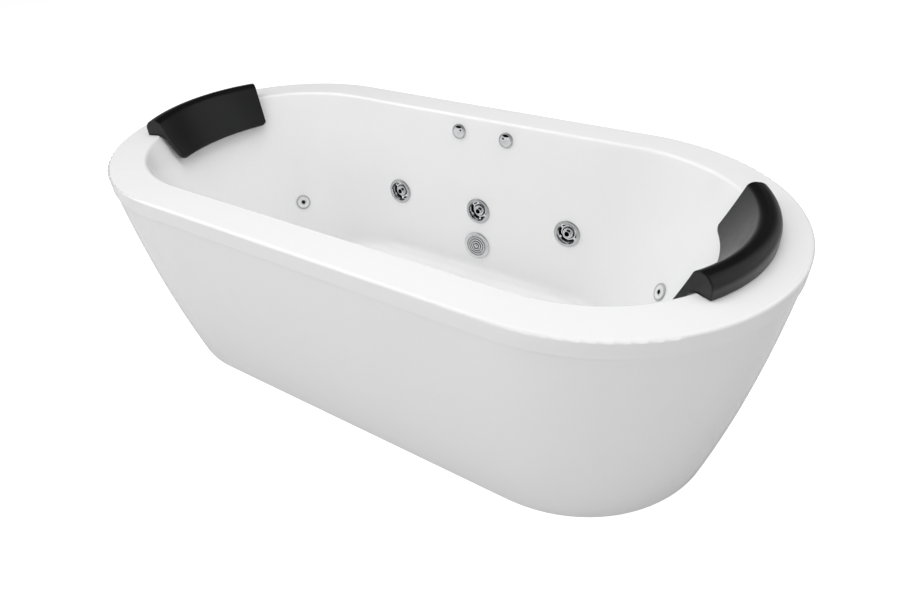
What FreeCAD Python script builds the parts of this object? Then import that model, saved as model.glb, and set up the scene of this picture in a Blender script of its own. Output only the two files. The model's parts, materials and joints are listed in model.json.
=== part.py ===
import FreeCAD, Part
import math
import os

import Sketcher

# A free-standing oval spa bath. The origin is on the floor under the middle of the bath,
# +X runs along its length, +Y to the side with the controls, +Z is up. All sizes are millimetres.
# Every outline of the bath is a stadium: two straight sides joined by two half circles.

Vector = FreeCAD.Vector
doc = FreeCAD.newDocument("JettedBath")

# ---------------------------------------------------------------- driving dimensions

DIMENSIONS = [
    ("rim_straight", 460, "half the straight length of the rim outline"),
    ("rim_radius", 440, "radius of the rim's rounded ends"),
    ("bath_height", 584, "floor to the top of the rim"),
    ("lip_depth", 40, "height of the lip that hangs from the rim"),
    ("lip_edge_round", 7, "rounding of the rim's outer edge"),
    ("rim_edge_round", 8, "rounding of the rim's inner edge"),
    ("shell_wall", 6, "thickness of the acrylic shell"),
    ("basin_radius", 344, "end radius of the basin at the rim"),
    ("floor_level", 100, "height of the basin floor above the ground"),
    ("floor_straight", 290, "half the straight length of the basin floor"),
    ("floor_radius", 296, "end radius of the basin floor"),
    ("floor_round", 28, "rounding between basin wall and floor"),
    ("apron_foot_radius", 360, "end radius of the apron on the ground"),
    ("apron_top_radius", 437, "end radius of the apron under the lip"),
    ("apron_bulge", 11, "how far the apron bows out at mid height"),
    ("apron_wall", 5, "thickness of the apron"),
    ("joint_gap", 3, "open joint between lip and apron"),
    ("upstand_height", 24, "apron upstand hidden inside the lip"),
    ("board_thickness", 14, "stiffening board under the basin floor"),
    ("board_half_length", 470, "half length of the board"),
    ("board_half_width", 240, "half width of the board"),
    ("tube_side", 25, "outer side of the square frame tube"),
    ("tube_wall", 2, "wall of the square frame tube"),
    ("rail_half_length", 560, "half length of the frame rails"),
    ("rail_offset", 190, "rails from the middle of the bath"),
    ("crossbar_half_length", 235, "half length of a crossbar"),
    ("foot_pad_radius", 25, "radius of a levelling foot"),
    ("foot_pad_height", 9, "height of a levelling foot's pad"),
    ("foot_stud_radius", 6, "radius of a levelling stud"),
    ("jet_spacing", 292, "large jets along the wall"),
    ("jet_level", 304, "large jet centre above the ground"),
    ("jet_ring_radius", 39.5, "outer radius of a large jet's face ring"),
    ("jet_bore", 30, "bore of a large jet body"),
    ("jet_neck", 33, "outside of a large jet body's neck"),
    ("jet_ball", 19, "radius of a swivelling nozzle ball"),
    ("jet_depth", 36, "socket axis behind the wall face"),
    ("pipe_radius", 16, "outside radius of the water pipe"),
    ("pipe_wall", 2, "wall of the water pipe"),
    ("socket_radius", 20, "outside radius of a pipe socket"),
    ("socket_reach", 38, "socket end from its jet's middle"),
    ("back_jet_radius", 23, "outer radius of a back jet's face"),
    ("suction_level", 188, "suction centre above the ground"),
    ("suction_radius", 44, "outer radius of the suction grille"),
    ("suction_pipe_radius", 25, "outside radius of the suction pipe"),
    ("control_spacing", 76.8, "air control and button from the middle"),
    ("control_level", 537, "air control and button above the ground"),
    ("control_radius", 22, "outer radius of a control's bezel"),
    ("waste_radius", 35, "outer radius of the waste flange"),
    ("waste_tail_radius", 24.6, "outside radius of the waste tail's shank"),
    ("waste_thread_radius", 23.9, "outside radius of the waste tail's free thread"),
    ("cable_radius", 4, "radius of the supply cable that the gland takes"),
    ("pump_axis_x", -690, "pump shaft along the bath"),
    ("pump_axis_z", 95, "pump shaft above the ground"),
    ("volute_radius", 76, "outside radius of the pump's wet end"),
    ("motor_radius", 60, "outside radius of the motor"),
    ("shaft_radius", 8, "radius of the motor shaft"),
    ("end_pipe_x", 750, "water pipe's furthest reach at each end"),
    ("left_headrest_half_angle", 30.75, "half the angle that the left headrest spans"),
    ("right_headrest_half_angle", 33.5, "half the angle that the right headrest spans"),
]

sheet = doc.addObject("Spreadsheet::Sheet", "Sizes")
for row, (alias, size, note) in enumerate(DIMENSIONS, 1):
    sheet.set("A%d" % row, alias)
    sheet.set("B%d" % row, str(size))
    sheet.set("C%d" % row, note)
    sheet.setAlias("B%d" % row, alias)
doc.recompute()


class Size:
    """A length that carries both its number and the sheet expression that drives it."""

    def __init__(self, number, text):
        self.number = number
        self.text = text

    def __float__(self):
        return self.number

    def _join(self, other, sign, number):
        text = other.text if isinstance(other, Size) else repr(other)
        return Size(number, "(%s %s %s)" % (self.text, sign, text))

    def __add__(self, other):
        return self._join(other, "+", self.number + float(other))

    def __sub__(self, other):
        return self._join(other, "-", self.number - float(other))

    def __mul__(self, other):
        return self._join(other, "*", self.number * float(other))

    def __truediv__(self, other):
        return self._join(other, "/", self.number / float(other))

    def __neg__(self):
        return self * -1


size = {alias: Size(float(sheet.get(alias)), "Sizes." + alias) for alias, _, _ in DIMENSIONS}

# ---------------------------------------------------------------- drawing helpers

nodes = []


def bind(thing, path, length):
    """Drive one property from the sheet, where the length comes from it."""
    if isinstance(length, Size):
        thing.setExpression(path, length.text)


def keep(thing, label):
    """Name a finished sub-part and put it on the export list."""
    thing.Label = label
    nodes.append(thing)
    return thing


def new_body(name):
    return doc.addObject("PartDesign::Body", name)


def new_sketch(body, name, role="XY_Plane", offset=0):
    """A sketch on one of the body's own origin planes, lifted off it by offset."""
    plane = [feature for feature in body.Origin.OriginFeatures if feature.Role == role][0]
    sketch = body.newObject("Sketcher::SketchObject", name)
    sketch.AttachmentSupport = [(plane, "")]
    sketch.MapMode = "FlatFace"
    lift = FreeCAD.Placement(Vector(0, 0, float(offset)), FreeCAD.Rotation())
    sketch.AttachmentOffset = lift
    bind(sketch, "AttachmentOffset.Base.z", offset)
    return sketch


def constrain(sketch, length, *what):
    """Add a constraint that has a size, and bind it."""
    index = sketch.addConstraint(Sketcher.Constraint(*what, float(length)))
    bind(sketch, "Constraints[%d]" % index, length)


def pin(sketch, geometry, point, x, y):
    """Fix one point of the sketch by its distances from the sketch's origin."""
    for length, kind, axis in ((x, "DistanceX", -2), (y, "DistanceY", -1)):
        if float(length) == 0:
            sketch.addConstraint(Sketcher.Constraint("PointOnObject", geometry, point, axis))
        else:
            constrain(sketch, length, kind, -1, 1, geometry, point)


def draw_outline(sketch, points):
    """A closed outline. A point (x, y) starts a line, (x, y, sag) an arc that bows to its left."""
    count = len(points)
    first = sketch.GeometryCount
    places = [Vector(float(point[0]), float(point[1]), 0) for point in points]
    for index, point in enumerate(points):
        start = places[index]
        end = places[(index + 1) % count]
        if len(point) == 2:
            sketch.addGeometry(Part.LineSegment(start, end), False)
            continue
        chord = end - start
        side = Vector(-chord.y, chord.x, 0).normalize()
        middle = (start + end) * 0.5 + side * point[2]
        sketch.addGeometry(Part.Arc(start, middle, end), False)
    for index, point in enumerate(points):
        near = first + index
        after = first + (index + 1) % count
        bows_left = len(point) == 3 and point[2] > 0
        next_bows_left = len(points[(index + 1) % count]) == 3 and points[(index + 1) % count][2] > 0
        # An arc always runs counter-clockwise, so one that bows left ends where it was begun.
        end_point = 1 if bows_left else 2
        start_point = 2 if next_bows_left else 1
        sketch.addConstraint(Sketcher.Constraint("Coincident", near, end_point, after, start_point))
        pin(sketch, near, 2 if bows_left else 1, point[0], point[1])
    for index, point in enumerate(points):
        if len(point) == 3:
            radius = sketch.Geometry[first + index].Radius
            sketch.addConstraint(Sketcher.Constraint("Radius", first + index, radius))


def draw_stadium(sketch, straight, radius):
    """Two straight sides at +-radius, joined by half circles round (+-straight, 0)."""
    s = float(straight)
    r = float(radius)
    first = sketch.GeometryCount
    quarter = math.pi / 2
    up = Vector(0, 0, 1)
    right = Part.ArcOfCircle(Part.Circle(Vector(s, 0, 0), up, r), -quarter, quarter)
    left = Part.ArcOfCircle(Part.Circle(Vector(-s, 0, 0), up, r), quarter, 3 * quarter)
    sketch.addGeometry(Part.LineSegment(Vector(-s, -r, 0), Vector(s, -r, 0)), False)
    sketch.addGeometry(right, False)
    sketch.addGeometry(Part.LineSegment(Vector(s, r, 0), Vector(-s, r, 0)), False)
    sketch.addGeometry(left, False)
    for index in range(4):
        after = first + (index + 1) % 4
        sketch.addConstraint(Sketcher.Constraint("Tangent", first + index, 2, after, 1))
    pin(sketch, first + 1, 3, straight, 0)
    pin(sketch, first + 3, 3, -straight, 0)
    constrain(sketch, radius, "Radius", first + 1)
    constrain(sketch, radius, "Radius", first + 3)


def stadium_sketch(body, name, straight, radius, level):
    sketch = new_sketch(body, name, "XY_Plane", level)
    draw_stadium(sketch, straight, radius)
    return sketch


def grow(body, kind, name, sketch, **settings):
    """Add a PartDesign feature, and check that it changed the body's volume the right way."""
    doc.recompute()
    before = body.Shape.Volume if body.Tip else 0.0
    feature = body.newObject("PartDesign::" + kind, name)
    feature.Profile = sketch
    for key, value in settings.items():
        setattr(feature, key, float(value) if isinstance(value, Size) else value)
        bind(feature, key, value)
    body.Tip = feature
    doc.recompute()
    change = feature.Shape.Volume - before
    removes = kind in ("Pocket", "Groove", "SubtractiveLoft")
    if (change > -1.0) if removes else (change < 1.0):
        raise RuntimeError("%s %s in %s changed the volume by %.1f" % (kind, name, body.Name, change))
    return feature


def round_edges(body, name, radius, chosen):
    """Fillet the edges of the body's last feature that the test picks out."""
    base = body.Tip
    names = ["Edge%d" % (i + 1) for i, edge in enumerate(base.Shape.Edges) if chosen(edge)]
    if not names:
        raise RuntimeError("no edge to round for " + name)
    fillet = body.newObject("PartDesign::Fillet", name)
    fillet.Base = (base, names)
    fillet.Radius = float(radius)
    bind(fillet, "Radius", radius)
    body.Tip = fillet
    doc.recompute()


def on_level(level, half_width):
    """Picks the edges that lie at one height, on the stadium of one half width."""
    def chosen(edge):
        flat = abs(edge.BoundBox.ZMin - float(level)) < 0.01 and edge.BoundBox.ZLength < 0.01
        reach = max(abs(edge.BoundBox.YMax), abs(edge.BoundBox.YMin))
        return flat and abs(reach - float(half_width)) < 0.05
    return chosen


def turned(label, points, place=FreeCAD.Placement()):
    """A turned piece: an outline of (radius, height) spun about the piece's own Z axis."""
    body = new_body(label)
    sketch = new_sketch(body, label + "_outline", "XZ_Plane")
    draw_outline(sketch, points)
    grow(body, "Revolution", label + "_turn", sketch,
         ReferenceAxis=(sketch, ["V_Axis"]), Angle=360.0)
    body.Placement = place
    return body


def cylinder(name, radius, height, place=FreeCAD.Placement()):
    thing = doc.addObject("Part::Cylinder", name)
    thing.Radius = float(radius)
    thing.Height = float(height)
    bind(thing, "Radius", radius)
    bind(thing, "Height", height)
    thing.Placement = place
    return thing


def box(name, length, width, height, corner):
    """A block with its lowest corner at (x, y, z), each of them a number or a sheet size."""
    thing = doc.addObject("Part::Box", name)
    for key, value in (("Length", length), ("Width", width), ("Height", height)):
        setattr(thing, key, float(value))
        bind(thing, key, value)
    thing.Placement = FreeCAD.Placement(Vector(*[float(c) for c in corner]), FreeCAD.Rotation())
    for axis, value in zip("xyz", corner):
        bind(thing, "Placement.Base." + axis, value)
    return thing


def cut(name, base, tool):
    thing = doc.addObject("Part::Cut", name)
    thing.Base = base
    thing.Tool = tool
    doc.recompute()
    return thing


def fuse(name, pieces):
    thing = doc.addObject("Part::MultiFuse", name)
    thing.Shapes = pieces
    thing.Refine = True
    doc.recompute()
    return thing


def group(name, pieces):
    """Separate solids that share one node, such as a set of fasteners."""
    thing = doc.addObject("Part::Compound", name)
    thing.Links = pieces
    doc.recompute()
    return thing


def formed(name, shape):
    """A sub-part whose curved form is worked out here."""
    thing = doc.addObject("Part::Feature", name)
    thing.Shape = shape
    return thing


def place_along(origin, direction):
    """A placement that stands a piece's Z axis along a direction."""
    return FreeCAD.Placement(origin, FreeCAD.Rotation(Vector(0, 0, 1), direction))


def moved(place, x=0.0, y=0.0, z=0.0):
    """The same placement, shifted along its own axes."""
    return place.multiply(FreeCAD.Placement(Vector(x, y, z), FreeCAD.Rotation()))


# ---------------------------------------------------------------- the basin wall

STRAIGHT = size["rim_straight"]
HEIGHT = size["bath_height"]
BASIN = size["basin_radius"]
WALL = size["shell_wall"]
FLOOR = size["floor_level"]
BASIN_DEPTH = float(HEIGHT) - float(FLOOR)
# How much the end radius and the straight half length shrink per millimetre of depth.
RADIUS_SLOPE = (float(BASIN) - float(size["floor_radius"])) / BASIN_DEPTH
STRAIGHT_SLOPE = (float(STRAIGHT) - float(size["floor_straight"])) / BASIN_DEPTH


def basin_section(level):
    """Straight half length and end radius of the basin's inside at one height."""
    depth = float(HEIGHT) - level
    return float(STRAIGHT) - STRAIGHT_SLOPE * depth, float(BASIN) - RADIUS_SLOPE * depth


def wall_place(point, outward, slope):
    """A frame on the basin wall: Z points into the bath, X runs level along the wall."""
    lean = math.atan(slope)
    inward = Vector(-outward.x * math.cos(lean), -outward.y * math.cos(lean), math.sin(lean))
    up = Vector(outward.x * math.sin(lean), outward.y * math.sin(lean), math.cos(lean))
    return FreeCAD.Placement(point, FreeCAD.Rotation(up.cross(inward), up, inward, "ZYX"))


def side_place(x, level, side):
    """A frame on the long wall at +Y (side 1) or -Y (side -1)."""
    radius = basin_section(level)[1]
    return wall_place(Vector(x, side * radius, level), Vector(0, side, 0), RADIUS_SLOPE)


def end_place(y, level, end):
    """A frame on the sloping end wall at +X (end 1) or -X (end -1)."""
    straight, radius = basin_section(level)
    reach = math.sqrt(radius ** 2 - y ** 2)
    outward = Vector(end * reach, y, 0).normalize()
    slope = RADIUS_SLOPE + STRAIGHT_SLOPE * reach / radius
    return wall_place(Vector(end * (straight + reach), y, level), outward, slope)


# Where every fitting goes through the wall: node name, then its frame.
LARGE_JETS = []
for side_name, side in (("rear", 1), ("front", -1)):
    for where, step in (("left", -1), ("middle", 0), ("right", 1)):
        x = step * float(size["jet_spacing"])
        LARGE_JETS.append(("%s_%s_jet" % (side_name, where),
                           side_place(x, float(size["jet_level"]), side)))
BACK_JETS = []
for end_name, end, y, level in (("left", -1, 176.0, 256.0), ("right", 1, 195.0, 283.0)):
    for side_name, side in (("rear", 1), ("front", -1)):
        BACK_JETS.append(("%s_%s_back_jet" % (end_name, side_name), end_place(side * y, level, end)))
SUCTION = side_place(0.0, float(size["suction_level"]), 1)
CONTROL_MIDDLE = 6.4
AIR_CONTROL = side_place(CONTROL_MIDDLE - float(size["control_spacing"]),
                         float(size["control_level"]), 1)
BUTTON = side_place(CONTROL_MIDDLE + float(size["control_spacing"]),
                    float(size["control_level"]), 1)
BACK_JET_NECK = 15.0
SUCTION_NECK = 31.0
CONTROL_NECK = 17.0
HOLE_PLAY = 0.3


# ---------------------------------------------------------------- bath shell

def build_shell():
    """Rim, hanging lip and basin in one moulding, with a hole for every fitting."""
    body = new_body("shell_moulding")
    lip_foot = HEIGHT - size["lip_depth"]
    rim_under = HEIGHT - WALL
    lip = stadium_sketch(body, "lip_outline", STRAIGHT, size["rim_radius"], lip_foot)
    grow(body, "Pad", "rim_block", lip, Length=size["lip_depth"])
    hollow = stadium_sketch(body, "lip_hollow", STRAIGHT, size["rim_radius"] - WALL, rim_under)
    grow(body, "Pocket", "lip_inside", hollow, Length=size["lip_depth"])
    outer_top = stadium_sketch(body, "basin_outer_top", STRAIGHT, BASIN + WALL, rim_under)
    outer_foot = stadium_sketch(body, "basin_outer_foot", size["floor_straight"],
                                size["floor_radius"] + WALL, FLOOR - WALL)
    grow(body, "AdditiveLoft", "basin_outside", outer_top, Sections=[outer_foot], Ruled=True)
    inner_top = stadium_sketch(body, "basin_top", STRAIGHT, BASIN, HEIGHT)
    inner_foot = stadium_sketch(body, "basin_foot", size["floor_straight"], size["floor_radius"],
                                FLOOR)
    grow(body, "SubtractiveLoft", "basin_inside", inner_top, Sections=[inner_foot], Ruled=True)
    round_edges(body, "floor_rounding", size["floor_round"], on_level(FLOOR, size["floor_radius"]))
    round_edges(body, "floor_outer_rounding", size["floor_round"] + WALL,
                on_level(FLOOR - WALL, size["floor_radius"] + WALL))
    round_edges(body, "rim_inner_rounding", size["rim_edge_round"], on_level(HEIGHT, BASIN))
    round_edges(body, "rim_outer_rounding", size["lip_edge_round"],
                on_level(HEIGHT, size["rim_radius"]))
    holes = []
    fittings = [(place, float(size["jet_neck"])) for _, place in LARGE_JETS]
    fittings += [(place, BACK_JET_NECK) for _, place in BACK_JETS]
    fittings += [(SUCTION, SUCTION_NECK), (AIR_CONTROL, CONTROL_NECK), (BUTTON, CONTROL_NECK)]
    for index, (place, neck) in enumerate(fittings):
        drill = moved(place, z=-20.0)
        holes.append(cylinder("fitting_hole_%d" % index, neck + HOLE_PLAY, 40.0, drill))
    waste_drill = FreeCAD.Placement(Vector(0, 0, float(FLOOR) - 20.0), FreeCAD.Rotation())
    holes.append(cylinder("waste_hole", size["waste_tail_radius"] + HOLE_PLAY, 40.0, waste_drill))
    keep(cut("bath_shell", body, fuse("fitting_holes", holes)), "bath_shell")


# ---------------------------------------------------------------- apron

def build_apron():
    """The bowed skirt that stands on the ground and hides the pipes."""
    body = new_body("apron")
    top = HEIGHT - size["lip_depth"] - size["joint_gap"]
    foot_radius = size["apron_foot_radius"]
    top_radius = size["apron_top_radius"]
    wall = size["apron_wall"]
    middle_radius = (foot_radius + top_radius) / 2 + size["apron_bulge"]
    upstand_radius = size["rim_radius"] - WALL - 1
    upstand_inner = upstand_radius - wall
    outer = [stadium_sketch(body, "apron_foot", STRAIGHT, foot_radius, 0),
             stadium_sketch(body, "apron_waist", STRAIGHT, middle_radius, top / 2),
             stadium_sketch(body, "apron_top", STRAIGHT, top_radius, top)]
    grow(body, "AdditiveLoft", "apron_outside", outer[0], Sections=outer[1:])
    upstand = stadium_sketch(body, "upstand_outline", STRAIGHT, upstand_radius, top)
    grow(body, "Pad", "upstand", upstand, Length=size["upstand_height"])
    inner = [stadium_sketch(body, "inside_foot", STRAIGHT, foot_radius - wall, 0),
             stadium_sketch(body, "inside_waist", STRAIGHT, middle_radius - wall, top / 2),
             stadium_sketch(body, "inside_top", STRAIGHT, upstand_inner, top)]
    grow(body, "SubtractiveLoft", "apron_inside", inner[0], Sections=inner[1:])
    throat = stadium_sketch(body, "throat_outline", STRAIGHT, upstand_inner,
                            top + size["upstand_height"])
    grow(body, "Pocket", "throat", throat, Length=size["upstand_height"])
    keep(body, "apron")


# ---------------------------------------------------------------- frame and feet

BOARD_TOP = FLOOR - WALL
BOARD_FOOT = BOARD_TOP - size["board_thickness"]
CROSSBAR_FOOT = BOARD_FOOT - size["tube_side"]
RAIL_FOOT = CROSSBAR_FOOT - size["tube_side"]
FOOT_X = (-535.0, 0.0, 535.0)
CROSSBAR_X = (-420.0, -150.0, 150.0, 420.0)


def square_tube(name, along_x, half_length, x, y, foot):
    """A hollow square bar centred on (x, y), lying along X or Y."""
    side = size["tube_side"]
    wall = size["tube_wall"]
    long = half_length * 2
    if along_x:
        outside = box(name + "_outside", long, side, side, (-half_length, y - side / 2, foot))
        inside = box(name + "_inside", long, side - wall * 2, side - wall * 2,
                     (-half_length, y - side / 2 + wall, foot + wall))
    else:
        outside = box(name + "_outside", side, long, side, (-side / 2 + x, -half_length, foot))
        inside = box(name + "_inside", side - wall * 2, long, side - wall * 2,
                     (-side / 2 + x + wall, -half_length, foot + wall))
    return cut(name, outside, inside)


def build_frame():
    """Board, crossbars, rails and six levelling feet that carry the basin."""
    board = box("board_blank", size["board_half_length"] * 2, size["board_half_width"] * 2,
                size["board_thickness"], (-size["board_half_length"], -size["board_half_width"],
                                          BOARD_FOOT))
    waste_gap = FreeCAD.Placement(Vector(0, 0, float(BOARD_FOOT) - 5.0), FreeCAD.Rotation())
    keep(cut("base_board", board, cylinder("board_gap", 45.0, 30.0, waste_gap)), "base_board")
    bars = [square_tube("crossbar_%d" % i, False, size["crossbar_half_length"], x, 0,
                        CROSSBAR_FOOT) for i, x in enumerate(CROSSBAR_X)]
    keep(group("frame_crossbars", bars), "frame_crossbars")
    stud = size["foot_stud_radius"]
    rails = []
    for name, sign in (("rear", 1), ("front", -1)):
        offset = size["rail_offset"] * sign
        rail = square_tube("%s_rail_tube" % name, True, size["rail_half_length"], 0, offset,
                           RAIL_FOOT)
        drills = []
        for i, x in enumerate(FOOT_X):
            drill = FreeCAD.Placement(Vector(x, float(offset), float(RAIL_FOOT) - 5.0),
                                      FreeCAD.Rotation())
            drills.append(cylinder("%s_rail_hole_%d" % (name, i), stud + 0.25, 40.0, drill))
        rails.append(cut("%s_rail" % name, rail, fuse("%s_rail_holes" % name, drills)))
    keep(group("frame_rails", rails), "frame_rails")
    pad = size["foot_pad_radius"]
    pad_top = size["foot_pad_height"]
    stud_top = CROSSBAR_FOOT + 12
    nut_radius = stud * 2
    feet = []
    nuts = []
    for x in FOOT_X:
        for sign in (-1, 1):
            place = FreeCAD.Placement(Vector(x, sign * float(size["rail_offset"]), 0),
                                      FreeCAD.Rotation())
            tag = "%d" % (len(feet) + 1)
            feet.append(turned("levelling_foot_" + tag, [
                (0, 0), (pad - 2, 0), (pad, 2), (pad, pad_top - 4), (stud + 3, pad_top),
                (stud, pad_top), (stud, stud_top - 1), (stud - 1, stud_top), (0, stud_top)], place))
            nuts.append(turned("lock_nut_" + tag, [
                (stud + 0.1, RAIL_FOOT - 9), (nut_radius, RAIL_FOOT - 9),
                (nut_radius, RAIL_FOOT - 0.2), (stud + 0.1, RAIL_FOOT - 0.2)], place))
    keep(group("levelling_feet", feet), "levelling_feet")
    keep(group("foot_lock_nuts", nuts), "foot_lock_nuts")


def build_apron_brackets():
    """Eight angle brackets that screw the apron's upstand to the underside of the rim."""
    brackets = []
    screws = []
    upstand_inner = float(size["rim_radius"]) - float(WALL) - 1 - float(size["apron_wall"])
    rim_under = float(HEIGHT) - float(WALL)
    places = [(x, side * upstand_inner, side * 90.0) for x in (-330.0, 0.0, 330.0)
              for side in (1, -1)]
    places += [(end * (float(STRAIGHT) + upstand_inner), 0.0, 0.0 if end > 0 else 180.0)
               for end in (1, -1)]
    for x, y, angle in places:
        turn = FreeCAD.Rotation(Vector(0, 0, 1), angle)
        place = FreeCAD.Placement(Vector(x, y, rim_under), turn)
        tag = "%d" % (len(brackets) + 1)
        body = new_body("bracket_" + tag)
        sketch = new_sketch(body, "bracket_outline_" + tag, "XZ_Plane")
        draw_outline(sketch, [(-38, -0.5), (-38, -3.5), (-4.5, -3.5), (-4.5, -34), (-1.5, -34),
                              (-1.5, -0.5)])
        grow(body, "Pad", "bracket_strip_" + tag, sketch, Length=30.0, Midplane=True)
        body.Placement = place
        brackets.append(body)
        heads = moved(place, x=-4.5, z=-26.0)
        into_apron = FreeCAD.Placement(heads.Base, heads.Rotation.multiply(
            FreeCAD.Rotation(Vector(0, 1, 0), 90)))
        screws.append(turned("bracket_screw_" + tag, [
            (0, -3), (3, -3), (4.5, -1.5), (4.5, -0.05), (0, -0.05)], into_apron))
    keep(group("apron_brackets", brackets), "apron_brackets")
    keep(group("bracket_screws", screws), "bracket_screws")


# ---------------------------------------------------------------- jets

NUT_DEPTH = 9.0
# The outside of the long wall, square to its face and with room for the seal.
WALL_BACK = -WALL - 0.75
SOCKET_BORE = size["pipe_radius"] + 0.05
# The nozzle ball is cut flat in front and behind, this far from its centre.
BALL_CUT = 12.0
BALL_CUT_RADIUS = math.sqrt(float(size["jet_ball"]) ** 2 - BALL_CUT ** 2)
BALL_CENTRE = -14.0
LUG_ANGLE = 214.0


def build_large_jet(name, place):
    """Moulded body through the wall, its nut, a face ring that turns and a nozzle that tilts."""
    neck = size["jet_neck"]
    bore = size["jet_bore"]
    flange = size["jet_ring_radius"] - 1.8
    back = -size["jet_depth"] - 22
    depth = float(size["jet_depth"])
    cup = turned(name + "_cup", [
        (0, back), (neck, back), (neck, 0), (flange, 0), (flange, 2.4), (bore, 2.4), (bore, back + 3),
        (0, back + 3)])
    reach = float(size["socket_reach"])
    sockets = cylinder(name + "_sockets", size["socket_radius"], size["socket_reach"] * 2,
                       place_along(Vector(-reach, 0, -depth), Vector(1, 0, 0)))
    air_barb = cylinder(name + "_air_barb", 8.0, 44.0,
                        place_along(Vector(0, 0, -depth), Vector(0, 1, 0)))
    chamber = cylinder(name + "_chamber", bore, 52.0, place_along(Vector(0, 0, -55.0),
                                                                  Vector(0, 0, 1)))
    socket_bore = cylinder(name + "_socket_bore", SOCKET_BORE - 2, size["socket_reach"] * 2,
                           place_along(Vector(-reach, 0, -depth), Vector(1, 0, 0)))
    air_bore = cylinder(name + "_air_bore", 5.0, 46.0,
                        place_along(Vector(0, 0, -depth), Vector(0, 1, 0)))
    solid = fuse(name + "_solid", [cup, sockets, air_barb])
    body = cut(name + "_body", solid, fuse(name + "_hollows", [chamber, socket_bore, air_bore]))
    body.Placement = place
    keep(body, name + "_body")
    nut = turned(name + "_nut", [
        (neck + 0.05, WALL_BACK - NUT_DEPTH), (neck + 8, WALL_BACK - NUT_DEPTH),
        (neck + 8, WALL_BACK), (neck + 0.05, WALL_BACK)], place)
    ring_radius = size["jet_ring_radius"]
    skirt = ring_radius - 1.3
    tube = bore - 0.08
    lip = bore - 3
    ring = turned(name + "_ring_turning", [
        (lip, -18), (tube, -18), (tube, 2.8), (skirt, 2.8), (skirt, 0.4), (ring_radius, 0.4),
        (ring_radius, 2.2, -0.6), (ring_radius - 2, 4.2), (bore + 1.6, 4.8), (bore + 0.6, 5.4),
        (lip, -2.5)])
    ball = size["jet_ball"]
    collar = turned(name + "_collar", [
        (ball + 0.35, BALL_CENTRE - 4), (ball + 3, BALL_CENTRE - 4), (ball + 3, BALL_CENTRE + 4),
        (ball + 0.35, BALL_CENTRE + 4)])
    # Three spokes carry the collar, and three small lugs inside the lip are for turning the ring.
    inlays = []
    for index in range(3):
        for part, angle, reach, width, foot, height in (
                ("spoke", 30.0, float(ball) + 2, 5.0, BALL_CENTRE - 2, 5.0),
                ("lug", LUG_ANGLE, 22.5, 7.0, -6.0, 3.5)):
            turn = FreeCAD.Rotation(Vector(0, 0, 1), angle + 120.0 * index)
            inlay = box("%s_%s_%d" % (name, part, index), float(lip) + 0.5 - reach, width, height,
                        (0, 0, 0))
            inlay.Placement = FreeCAD.Placement(turn.multVec(Vector(reach, -width / 2, foot)), turn)
            inlays.append(inlay)
    face = fuse(name + "_ring", [ring, collar] + inlays)
    face.Placement = place
    keep(face, name + "_ring")
    tube_outer = 10.5
    tube_inner = 7.0
    mouth = 4.0 - BALL_CENTRE
    nozzle = turned(name + "_nozzle", [
        (tube_inner, -BALL_CUT), (BALL_CUT_RADIUS, -BALL_CUT, BALL_CUT_RADIUS - float(ball)),
        (BALL_CUT_RADIUS, BALL_CUT), (tube_outer, BALL_CUT), (tube_outer, mouth - 0.8),
        (tube_outer - 0.8, mouth), (tube_inner + 0.8, mouth), (tube_inner, mouth - 0.8)],
        moved(place, z=BALL_CENTRE))
    keep(nozzle, name + "_nozzle")
    return nut


def build_large_jets():
    """All six large jets. Returns their back nuts."""
    return [build_large_jet(name, place) for name, place in LARGE_JETS]


def build_back_jets():
    """Small fixed jets that aim at the bather's back, two in each sloping end."""
    bodies = []
    for name, place in BACK_JETS:
        face_radius = size["back_jet_radius"]
        neck = BACK_JET_NECK
        keep(turned(name + "_face", [
            (4.0, -4), (neck - 2.6, -4), (neck - 2.6, 3.0), (face_radius - 1.0, 3.0),
            (face_radius - 1.0, 1.6), (face_radius, 1.6), (face_radius, 3.4, -0.5),
            (face_radius - 1.4, 4.6), (face_radius - 4.6, 5.2), (face_radius - 6, 4.2),
            (9.4, 3.8), (8.6, 4.5, -0.3), (6.6, 5.0), (4.0, 4.6)], place), name + "_face")
        bodies.append(turned(name + "_shank", [
            (neck - 2.5, 2.6), (neck - 2.5, -22), (7, -26), (7, -42), (9.5, -44), (9.5, -48),
            (11, -48), (11, -28), (neck, -24), (neck, 1.5), (face_radius - 2, 1.5),
            (face_radius - 2, 2.6)], place))
    keep(group("back_jet_bodies", bodies), "back_jet_bodies")


# ---------------------------------------------------------------- suction, controls, waste

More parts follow.
